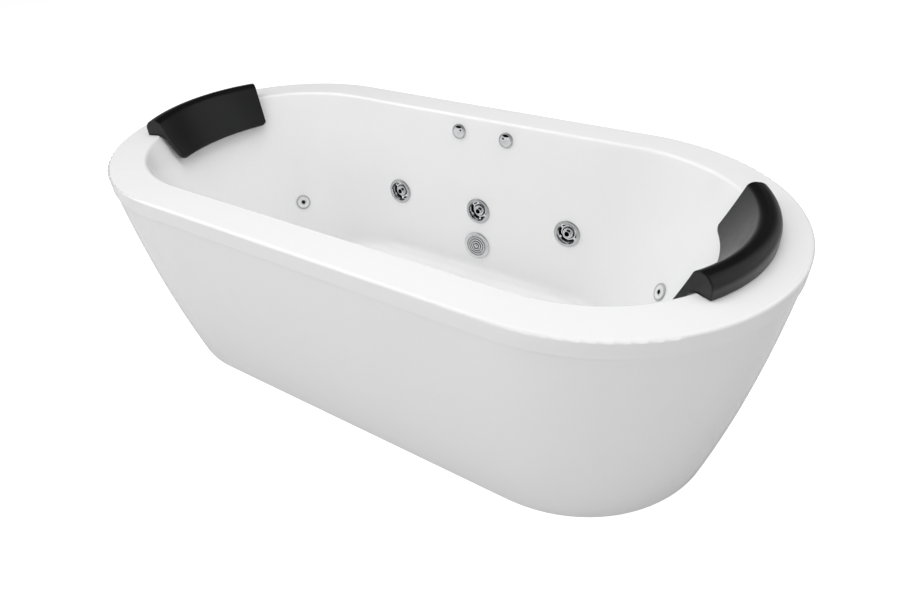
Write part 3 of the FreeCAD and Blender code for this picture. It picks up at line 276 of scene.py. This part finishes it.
def finish(name, color, roughness, drift=(6.0, 0.06), marks=(120.0, 0.12, 8.0),
           ripple=(60.0, 900.0, 0.3), depth=0.0002, patches=(), **shader_values):
    """A material: drifting colour with patches, rubbed roughness and a rippled surface."""
    material = bpy.data.materials.new(name)
    material.use_nodes = True
    tree = material.node_tree
    shader = tree.nodes["Principled BSDF"]
    for label, value in shader_values.items():
        shader.inputs[label.replace("_", " ")].default_value = value
    tone = place_group(tree, tone_drift, Color=(*color, 1.0), Scale=drift[0], Strength=drift[1])
    tree.links.new(lay_patches(tree, tone.outputs["Color"], patches), shader.inputs["Base Color"])
    rub = place_group(tree, rubbing_marks, Base=roughness, Spread=marks[1], Scale=marks[0],
                      Stretch=marks[2])
    tree.links.new(rub.outputs["Roughness"], shader.inputs["Roughness"])
    skin = place_group(tree, moulded_ripple, Coarse=ripple[0], Fine=ripple[1],
                       Fine_share=ripple[2])
    bump = add_node(tree, "ShaderNodeBump", Height=skin.outputs["Height"], Strength=1.0,
                    Distance=depth)
    tree.links.new(bump.outputs["Normal"], shader.inputs["Normal"])
    return material


FINISHES = {
    "acrylic": finish("White acrylic", (0.93, 0.93, 0.93), 0.10, drift=(2.0, 0.015),
                      marks=(9.0, 0.06, 1.0), ripple=(14.0, 160.0, 0.05), depth=0.0004,
                      IOR=1.49, Specular_IOR_Level=0.5),
    "chrome": finish("Bright chrome", (0.66, 0.67, 0.68), 0.07, drift=(40.0, 0.06),
                     marks=(260.0, 0.10, 3.0), ripple=(90.0, 1400.0, 0.1), depth=0.00003,
                     Metallic=1.0),
    "headrest_skin": finish("Moulded black skin", (0.005, 0.005, 0.0055), 0.32, drift=(9.0, 0.5),
                            marks=(40.0, 0.12, 1.0), ripple=(420.0, 1700.0, 0.5), depth=0.00012,
                            IOR=1.5),
    "cup_rubber": finish("Cup rubber", (0.03, 0.03, 0.034), 0.30, drift=(50.0, 0.2),
                         IOR=1.5),
    "white_moulding": finish("White moulding", (0.78, 0.78, 0.76), 0.38, drift=(12.0, 0.06)),
    "air_hose": finish("Grey air hose", (0.5, 0.52, 0.54), 0.30, drift=(20.0, 0.1)),
    "black_moulding": finish("Black moulding", (0.012, 0.012, 0.013), 0.42, drift=(20.0, 0.3),
                             ripple=(500.0, 1800.0, 0.5), depth=0.0001),
    "motor_paint": finish("Motor paint", (0.16, 0.18, 0.21), 0.40, drift=(14.0, 0.12),
                          ripple=(200.0, 1200.0, 0.4), depth=0.0002),
    "zinc_steel": finish("Zinc-plated steel", (0.56, 0.57, 0.58), 0.30, drift=(60.0, 0.25),
                         marks=(90.0, 0.3, 1.0), Metallic=1.0),
    "black_rubber": finish("Black rubber", (0.02, 0.02, 0.02), 0.7, drift=(40.0, 0.3),
                           ripple=(300.0, 1500.0, 0.5), depth=0.0003),
}
print(len(FINISHES), "finishes")

# %% [markdown]
# ## The stiffening board
#
# The board under the basin is the one wooden piece. Grain is noise stretched along one axis: the
# long way of the board stays smooth and the short way changes fast.


# %% Board
def build_board():
    """Wood: two browns mixed by noise that is stretched twelve times along X."""
    material = bpy.data.materials.new("Plywood board")
    material.use_nodes = True
    tree = material.node_tree
    shader = tree.nodes["Principled BSDF"]
    place = add_node(tree, "ShaderNodeTexCoord")
    stretch = add_node(tree, "ShaderNodeMapping", Vector=place.outputs["Object"],
                       Scale=(1.0, 12.0, 12.0))
    grain = add_node(tree, "ShaderNodeTexNoise", Vector=stretch.outputs[0], Scale=9.0, Detail=6.0,
                     Distortion=0.6)
    ramp = add_node(tree, "ShaderNodeValToRGB", Fac=grain.outputs[0])
    ramp.color_ramp.elements[0].color = (0.36, 0.24, 0.13, 1.0)
    ramp.color_ramp.elements[1].color = (0.66, 0.50, 0.32, 1.0)
    tree.links.new(ramp.outputs[0], shader.inputs["Base Color"])
    rub = place_group(tree, rubbing_marks, Base=0.55, Spread=0.2, Scale=30.0, Stretch=1.0)
    tree.links.new(rub.outputs["Roughness"], shader.inputs["Roughness"])
    bump = add_node(tree, "ShaderNodeBump", Height=grain.outputs[0], Strength=0.6, Distance=0.0006)
    tree.links.new(bump.outputs["Normal"], shader.inputs["Normal"])
    return material


FINISHES["board"] = build_board()
print("board grain ready")

# %% [markdown]
# ## The fittings on the walls
#
# The long wall leans out a little towards the rim, so a fitting's own "up" leans with it. With its
# middle and that direction, each slot, rim and dimple can be found as a distance from some point.
# The patches sit where the CAD has these places. Black in a control's finger scoop and dimple,
# in the grille's slots and in a back jet's bore is painted shade. The darker grey on a control's
# bezel and on the flat face of a jet's ring is painted darker reflection, and a back jet's raised
# rim is laid grey. All the sizes that end in RADIUS are measured from the middle of the fitting,
# or of the scoop or dimple they name.

# %% Fitting sizes
MM = 0.001
RIM_TOP = 584.0
WALL_REACH = 344.0 * MM
WALL_SLOPE = 48.0 / 484.0
LEAN = math.atan(WALL_SLOPE)
WALL_UP = Vector((0.0, math.sin(LEAN), math.cos(LEAN)))
WALL_IN = Vector((0.0, -math.cos(LEAN), math.sin(LEAN)))

CONTROL_LEVEL = 537.0 * MM
CONTROL_PROUD = 5.5 * MM
BEZEL_RADIUS = 17.8 * MM
CAP_RADIUS = 17.2 * MM
SCOOP_RISE = 31.0 * MM
SCOOP_PROUD = 5.0 * MM
SCOOP_RADIUS = 20.6 * MM
DIMPLE_ACROSS = 7.0 * MM
DIMPLE_RISE = 5.4 * MM
DIMPLE_RADIUS = 3.2 * MM

BACK_JET_RIM_RADIUS = 18.2 * MM
BACK_JET_RING_RADII = (8.2 * MM, 9.8 * MM)
BACK_JET_BORE_RADIUS = 7.0 * MM

JET_LEVEL = 304.0 * MM
JET_FACE_RADIUS = 31.2 * MM

GRILLE_LEVEL = 188.0 * MM
FACE_PROUD = 4.0 * MM
SLOT_RADII = (9.2 * MM, 16.5 * MM, 23.8 * MM, 31.1 * MM)
SLOT_HALF = 1.6 * MM
print("the wall leans", round(math.degrees(LEAN), 2), "degrees")


# %% Fitting finishes
# Painted shade: black for scoops, dimples and bores, near-black for the grille's slots.
RECESS_SHADE_BLACK = (0.002, 0.002, 0.002)
SLOT_PAINTED_SHADE = (0.05, 0.05, 0.05)


def on_wall(x, level, across=0.0, up=0.0, proud=0.0, side=1):
    """A point at a fitting on the long wall: moved along the wall, up it and out of it.

    The wall stands at y = WALL_REACH - WALL_SLOPE * (rim top - level), and side -1 is the near one.
    """
    point = Vector((x, WALL_REACH - WALL_SLOPE * (RIM_TOP * MM - level), level))
    point += Vector((across, 0.0, 0.0)) + WALL_UP * up + WALL_IN * proud
    return (point.x, side * point.y, point.z)


def control_finish(name, x, dimple_across):
    """Satin chrome: painted darker reflection on the bezel, painted black shade in the top-edge
    scoop and the dimple.
    """
    middle = on_wall(x, CONTROL_LEVEL, proud=CONTROL_PROUD)
    scoop = on_wall(x, CONTROL_LEVEL, up=SCOOP_RISE, proud=SCOOP_PROUD)
    dimple = on_wall(x, CONTROL_LEVEL, across=dimple_across, up=DIMPLE_RISE, proud=CONTROL_PROUD)
    return finish(name, (0.90, 0.91, 0.92), 0.22, drift=(60.0, 0.08), Metallic=1.0, patches=[
        # Painted darker reflection on the bezel, then painted shade in the finger scoop and the
        # dimple.
        ((0.58, 0.59, 0.60), [(middle, BEZEL_RADIUS, False)]),
        (RECESS_SHADE_BLACK, [(scoop, SCOOP_RADIUS, True), (middle, CAP_RADIUS, True)]),
        (RECESS_SHADE_BLACK, [(dimple, DIMPLE_RADIUS, True)])])


def back_jet_finish(name, middle):
    """A pale dish with a grey raised rim, a fine grey ring and painted black shade in the bore."""
    ring_inner, ring_outer = BACK_JET_RING_RADII
    return finish(name, (0.82, 0.82, 0.82), 0.16, drift=(50.0, 0.04), IOR=1.5, patches=[
        ((0.46, 0.47, 0.48), [(middle, BACK_JET_RIM_RADIUS, False)]),
        ((0.62, 0.63, 0.64), [(middle, ring_outer, True), (middle, ring_inner, False)]),
        # Painted shade: the bore is laid black.
        (RECESS_SHADE_BLACK, [(middle, BACK_JET_BORE_RADIUS, True)])])


def jet_ring_finish(name, x, side):
    """Chrome with a painted darker reflection laid on its flat outer face, greyer than the bevel
    inside.
    """
    middle = on_wall(x, JET_LEVEL, proud=FACE_PROUD, side=side)
    return finish(name, (0.82, 0.83, 0.84), 0.09, drift=(40.0, 0.06), Metallic=1.0, patches=[
        # Painted darker reflection on the flat outer face.
        ((0.52, 0.53, 0.54), [(middle, JET_FACE_RADIUS, False)])])


def grille_finish():
    """Chrome with painted shade in the four ring slots."""
    middle = on_wall(0.0, GRILLE_LEVEL, proud=FACE_PROUD)
    # Painted shade in each ring slot.
    slots = [(SLOT_PAINTED_SHADE, [(middle, radius + SLOT_HALF, True), (middle, radius - SLOT_HALF, False)])
             for radius in SLOT_RADII]
    return finish("Grille chrome with painted slot shade", (0.66, 0.67, 0.68), 0.16, drift=(40.0, 0.06), Metallic=1.0,
                  patches=slots)


def box_middle(node_name):
    """The middle of a piece's box."""
    return tuple((a + b) / 2 for a, b in zip(*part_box(node_name)))


FITTINGS = {"suction_grille": grille_finish()}
for cap_name, body_name, inward in (("air_control_knob", "air_control_body", 1),
                                    ("start_button_cap", "start_button_body", -1)):
    FITTINGS[cap_name] = control_finish(cap_name + "_chrome", box_middle(cap_name)[0],
                                        inward * DIMPLE_ACROSS)
    FITTINGS[body_name] = FITTINGS[cap_name]
for node_name in frame["nodes"]:
    middle = box_middle(node_name)
    if node_name.endswith("back_jet_face"):
        FITTINGS[node_name] = back_jet_finish(node_name + "_finish", middle)
    elif node_name.endswith("_ring"):
        FITTINGS[node_name] = jet_ring_finish(node_name + "_chrome", middle[0],
                                              math.copysign(1, middle[1]))
print(len(FITTINGS), "fittings with a finish of their own")

# %% [markdown]
# ## Finishes on the CAD pieces
#
# The record names a slot for every piece, so one loop dresses them all. A fitting's own finish
# comes before the one of its slot.

# %% Dress the CAD pieces
slots = {entry["node"]: entry["material_slot"] for entry in frame["record"]["subparts"]}
for node_name, piece in frame["nodes"].items():
    coat = FITTINGS[node_name] if node_name in FITTINGS else FINISHES[slots[node_name]]
    piece.data.materials.clear()
    piece.data.materials.append(coat)
print("dressed", len(slots), "pieces")

# %% [markdown]
# ## The headrests
#
# A headrest is foam with a moulded skin. Its slice, cut straight through, is a hook: a flat seat on
# the rim, a round crest and a flap that hangs down inside the basin. The slice is carried round the
# rim's end on an arc. Towards both ends the flap's edge draws back a little and its lower corners
# are rounded, so the slice changes along the way. Surfaces like this are easy as a formula and hard
# by hand. The slice is worked out in millimetres, and MM turns it into metres at the end.

# %% Headrest slice
RIM_CENTRE = 460.0
PAD_ARC = 360.0
PAD_TURN = 0.82
SEAT_LEVEL = 0.6
SEAT_INNER = 346.8
SEAT_OUTER = 378.0
CREST_TOP = (351.3, 43.0)
BROW = (330.5, 36.2)
FACE_BOW = 1.2
FLAP_DROP = 73.0
FLAP_TIP = 276.0
TIP_DRAW_BACK = 11.0
TIP_RISE = 4.0
CORNER_START = 0.87
CORNER_LIFT = 11.5


def arc_through(first, middle, last, count):
    """Points on the circle through three points: p = centre + radius * (cos a, sin a)."""
    (ax, ay), (bx, by), (cx, cy) = first, middle, last
    d = 2 * (ax * (by - cy) + bx * (cy - ay) + cx * (ay - by))
    sa, sb, sc = ax * ax + ay * ay, bx * bx + by * by, cx * cx + cy * cy
    centre = np.array([(sa * (by - cy) + sb * (cy - ay) + sc * (ay - by)) / d,
                       (sa * (cx - bx) + sb * (ax - cx) + sc * (bx - ax)) / d])
    start, mid, end = [math.atan2(p[1] - centre[1], p[0] - centre[0])
                       for p in (first, middle, last)]
    sweep = (end - start) % (2 * math.pi)
    if (mid - start) % (2 * math.pi) > sweep:
        sweep -= 2 * math.pi
    angles = start + sweep * np.linspace(0, 1, count)
    radius = np.hypot(ax - centre[0], ay - centre[1])
    return centre + radius * np.column_stack([np.cos(angles), np.sin(angles)])


def even_loop(points, count):
    """The same closed line, cut into equal steps."""
    closed = np.vstack([points, points[:1]])
    length = np.concatenate([[0], np.cumsum(np.hypot(*np.diff(closed, axis=0).T))])
    wanted = np.linspace(0, length[-1], count, endpoint=False)
    return np.column_stack([np.interp(wanted, length, closed[:, k]) for k in (0, 1)])


def soften(loop, reach):
    """Round a closed line's corners: each point becomes a bell-weighted mean of its neighbours."""
    steps = np.arange(-4 * reach, 4 * reach + 1)
    weights = np.exp(-0.5 * (steps / reach) ** 2)
    weights /= weights.sum()
    return sum(w * np.roll(loop, -k, axis=0) for k, w in zip(steps, weights))


def headrest_slice(share, count=320):
    """The hook in (radius, height), in millimetres. share runs -1..1 along the pad.

    The flap's tip lies at FLAP_TIP + TIP_DRAW_BACK * share^2. Past CORNER_START its edge rises by
    CORNER_LIFT * (1 - sqrt(1 - past^2)), a quarter of an ellipse, and follows the face upwards.
    """
    tip = FLAP_TIP + TIP_DRAW_BACK * share ** 2
    past = max(0.0, (abs(share) - CORNER_START) / (1.0 - CORNER_START))
    lift = CORNER_LIFT * (1.0 - math.sqrt(max(0.0, 1.0 - past ** 2)))
    slope = (BROW[0] - tip) / (BROW[1] + FLAP_DROP - TIP_RISE)
    drop = FLAP_DROP - lift
    front = (tip + slope * lift, -drop + TIP_RISE)
    back = (front[0] + 12.4, -drop + 4.5)
    # The flap's face is hollowed a little below the crest, so it bows towards the wall.
    bow = ((BROW[0] + front[0]) / 2 + FACE_BOW, (BROW[1] + front[1]) / 2)
    line = np.vstack([
        [(SEAT_INNER, SEAT_LEVEL)], [(SEAT_OUTER, SEAT_LEVEL)],
        arc_through((377.3, 16.0), (369.0, 36.6), CREST_TOP, 20),
        arc_through(CREST_TOP, (339.4, 42.6), BROW, 12)[1:],
        arc_through(BROW, bow, front, 30)[1:],
        arc_through(front, (front[0] + 5.6, -drop), back, 8)[1:],
        [(328.5, -13.0)], [(342.0, -2.2)]])
    return soften(even_loop(line, count), 2)


print("a slice has", len(headrest_slice(0.0)), "points")

# %% [markdown]
# The pad's ends are cut square and then eased. Each ring of the easing is the end slice moved
# inwards along its own normals while it moves outwards along the arc, which traces a quarter
# circle. The flat end is filled last.


# %% Headrest surface
def move_in(loop, distance):
    """Push a closed line inwards along its normals, which are its tangents turned a quarter."""
    tangent = np.roll(loop, -1, axis=0) - np.roll(loop, 1, axis=0)
    tangent /= np.hypot(*tangent.T)[:, None]
    area = np.sum(loop[:, 0] * np.roll(loop[:, 1], -1) - np.roll(loop[:, 0], -1) * loop[:, 1])
    inward = np.column_stack([-tangent[:, 1], tangent[:, 0]]) * np.sign(area)
    return loop + inward * distance


def headrest_rings(half_angle, easing=2.4, along=120):
    """Rings as (share, loop): the eased end, the body, and the other eased end."""
    inner = 1.0 - easing / (PAD_ARC * half_angle)
    shares = inner * np.sin(np.linspace(-math.pi / 2, math.pi / 2, along))
    rings = [(share, headrest_slice(share)) for share in shares]
    quarter = np.linspace(0, math.pi / 2, 7)[1:]
    for side in (-1, 1):
        base = headrest_slice(side * inner)
        eased = [(side * (inner + (1.0 - inner) * math.sin(a)),
                  move_in(base, easing * (1.0 - math.cos(a)))) for a in quarter]
        eased.append((side * 1.0, move_in(base, easing + 1.0)))
        rings = eased[::-1] + rings if side < 0 else rings + eased
    return rings


def build_headrest(name, end, middle_degrees, half_degrees):
    """Slices carried round the rim's end: arc * (cos a, sin a) + (r - arc) * (cos b, sin b).

    a is the slice's place on the pad's arc, and b the way it faces, which turns a little less, so
    the pad's two ends are nearer to parallel than the rim's own radii.
    """
    half_angle = math.radians(half_degrees)
    rings = headrest_rings(half_angle)
    offset = np.array([share for share, _ in rings])[:, None] * half_angle
    loops = np.array([loop for _, loop in rings])
    place = math.radians(middle_degrees) + offset
    facing = math.radians(middle_degrees) + offset * PAD_TURN
    reach = loops[:, :, 0] - PAD_ARC
    x = end * (RIM_CENTRE + PAD_ARC * np.cos(place) + reach * np.cos(facing))
    y = PAD_ARC * np.sin(place) + reach * np.sin(facing)
    z = RIM_TOP + loops[:, :, 1]
    points = np.stack([x, y, z], axis=-1) * MM
    rows, columns = points.shape[:2]
    index = np.arange(rows * columns).reshape(rows, columns)
    here, ahead = index[:-1], index[1:]
    faces = np.stack([here, np.roll(here, -1, axis=1), np.roll(ahead, -1, axis=1), ahead], axis=-1)
    faces = faces.reshape(-1, 4).tolist() + [index[0, ::-1].tolist(), index[-1].tolist()]
    mesh = bpy.data.meshes.new(name)
    mesh.from_pydata(points.reshape(-1, 3).tolist(), [], faces)
    solid = bmesh.new()
    solid.from_mesh(mesh)
    ends = [face for face in solid.faces if len(face.verts) > 4]
    bmesh.ops.triangulate(solid, faces=ends)
    bmesh.ops.recalc_face_normals(solid, faces=solid.faces)
    solid.to_mesh(mesh)
    solid.free()
    mesh.shade_smooth()
    pad = bpy.data.objects.new(name, mesh)
    scene.collection.objects.link(pad)
    pad.data.materials.append(FINISHES["headrest_skin"])
    return pad


for side_name, end, middle_degrees, half_degrees in (("left", -1, 4.6, 30.75),
                                                     ("right", 1, -1.35, 33.5)):
    pad = build_headrest(side_name + "_headrest_foam", end, middle_degrees, half_degrees)
    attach(pad, side_name + "_headrest")
    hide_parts(side_name + "_headrest_pad")
    print(pad.name, len(pad.data.vertices), "points")

# %% [markdown]
# ## Floor
#
# The bath stands in a white studio. The floor is plain and grey. A glow that the camera sees lifts
# it to white, and mirror rays see a weaker one. The glow isn't light, so the floor still takes the
# bath's shadow and throws no more light on the apron than a grey floor does.


# %% Floor
FLOOR_REACH = 30.0


def build_floor(color, shown_glow, mirror_glow):
    """A plain floor. Light Path adds one glow for the camera and one for mirror and glass rays."""
    material = bpy.data.materials.new("Studio floor")
    material.use_nodes = True
    tree = material.node_tree
    shader = tree.nodes["Principled BSDF"]
    shader.inputs["Base Color"].default_value = (color, color, color, 1.0)
    shader.inputs["Roughness"].default_value = 0.9
    shader.inputs["Specular IOR Level"].default_value = 0.0
    shader.inputs["Emission Color"].default_value = (1.0, 1.0, 1.0, 1.0)
    path = tree.nodes.new("ShaderNodeLightPath")
    mirror = math_node(tree, "MAXIMUM", path.outputs["Is Glossy Ray"],
                       path.outputs["Is Transmission Ray"])
    shown = math_node(tree, "MULTIPLY", path.outputs["Is Camera Ray"], shown_glow)
    mirrored = math_node(tree, "MULTIPLY", mirror, mirror_glow)
    tree.links.new(math_node(tree, "ADD", shown, mirrored), shader.inputs["Emission Strength"])
    mesh = bpy.data.meshes.new("studio_floor")
    reach = FLOOR_REACH
    mesh.from_pydata([(-reach, -reach, 0), (reach, -reach, 0), (reach, reach, 0),
                      (-reach, reach, 0)], [], [(0, 1, 2, 3)])
    floor = bpy.data.objects.new("studio_floor", mesh)
    floor.data.materials.append(material)
    scene.collection.objects.link(floor)
    return floor


build_floor(0.62, 0.80, 0.12)
print("floor laid")

# %% [markdown]
# ## Sky
#
# The world plays three parts, told apart by Light Path. The camera sees plain white. Mirror rays see
# grey at the horizon and almost nothing higher up, as in a studio whose ceiling is unlit: that
# keeps the black crests of the headrests black. Everything else gets an even, weaker light.


# %% Sky
def build_sky(strength, high, horizon, ceiling):
    """White for the camera, grey to dark with height for mirror rays, even for the rest."""
    world = bpy.data.worlds.new("Studio sky")
    world.use_nodes = True
    tree = world.node_tree
    tree.nodes.clear()
    white = (1.0, 1.0, 1.0, 1.0)
    direction = tree.nodes.new("ShaderNodeTexCoord")
    height = add_node(tree, "ShaderNodeSeparateXYZ", Vector=direction.outputs["Generated"])
    fade = tree.nodes.new("ShaderNodeMapRange")
    fade.interpolation_type = "SMOOTHSTEP"
    for label, value in (("From Min", 0.0), ("From Max", high), ("To Min", horizon),
                         ("To Max", ceiling)):
        fade.inputs[label].default_value = value
    tree.links.new(height.outputs["Z"], fade.inputs["Value"])
    even = add_node(tree, "ShaderNodeBackground", Color=white, Strength=strength)
    mirrored = add_node(tree, "ShaderNodeBackground", Color=white, Strength=fade.outputs[0])
    shown = add_node(tree, "ShaderNodeBackground", Color=white, Strength=1.0)
    path = tree.nodes.new("ShaderNodeLightPath")
    glass = math_node(tree, "MAXIMUM", path.outputs["Is Glossy Ray"],
                      path.outputs["Is Transmission Ray"])
    shader = even.outputs[0]
    for choice, other in ((glass, mirrored), (path.outputs["Is Camera Ray"], shown)):
        mix = tree.nodes.new("ShaderNodeMixShader")
        tree.links.new(choice, mix.inputs[0])
        tree.links.new(shader, mix.inputs[1])
        tree.links.new(other.outputs[0], mix.inputs[2])
        shader = mix.outputs[0]
    add_node(tree, "ShaderNodeOutputWorld", Surface=shader)
    return world


scene.world = build_sky(0.27, 0.30, 0.50, 0.02)
print("sky ready")

# %% [markdown]
# ## Lamps
#
# Five broad lamps, as in a product studio: one overhead that makes the rim the brightest surface, a
# key on the left, and weaker ones in front, on the right and behind. Their power was found by
# lighting the bath with each one alone and adding up the tones. Two are kept out of reflections, or
# they would grey the headrests' crests and outer sides.


# %% Lamps
def add_lamp(name, place, target, size, power, mirrored=True):
    """A square lamp at one place that points at another. It may be left out of reflections."""
    lamp = bpy.data.lights.new(name, "AREA")
    lamp.shape = "SQUARE"
    lamp.size = size
    lamp.energy = power
    holder = bpy.data.objects.new(name, lamp)
    holder.location = place
    holder.rotation_euler = (Vector(target) - Vector(place)).to_track_quat("-Z", "Y").to_euler()
    holder.visible_glossy = mirrored
    scene.collection.objects.link(holder)
    return holder


BATH_MIDDLE = (0.0, 0.0, 0.4)
LAMPS = [
    add_lamp("top_lamp", (0.0, 0.0, 3.6), BATH_MIDDLE, 3.0, 63.0, mirrored=False),
    add_lamp("key_lamp", (-2.6, -1.8, 2.8), BATH_MIDDLE, 3.0, 45.0),
    add_lamp("front_lamp", (0.8, -4.0, 1.8), BATH_MIDDLE, 3.0, 43.0, mirrored=False),
    add_lamp("right_lamp", (3.6, -0.8, 2.2), BATH_MIDDLE, 3.0, 12.0),
    add_lamp("far_lamp", (3.1, 1.8, 2.5), BATH_MIDDLE, 3.4, 20.0),
]
print(len(LAMPS), "lamps")

# %% [markdown]
# ## The view
#
# The colours are shown as they are, with no film look.

# %% Finish
scene.view_settings.view_transform = "Standard"
bpy.context.view_layer.update()
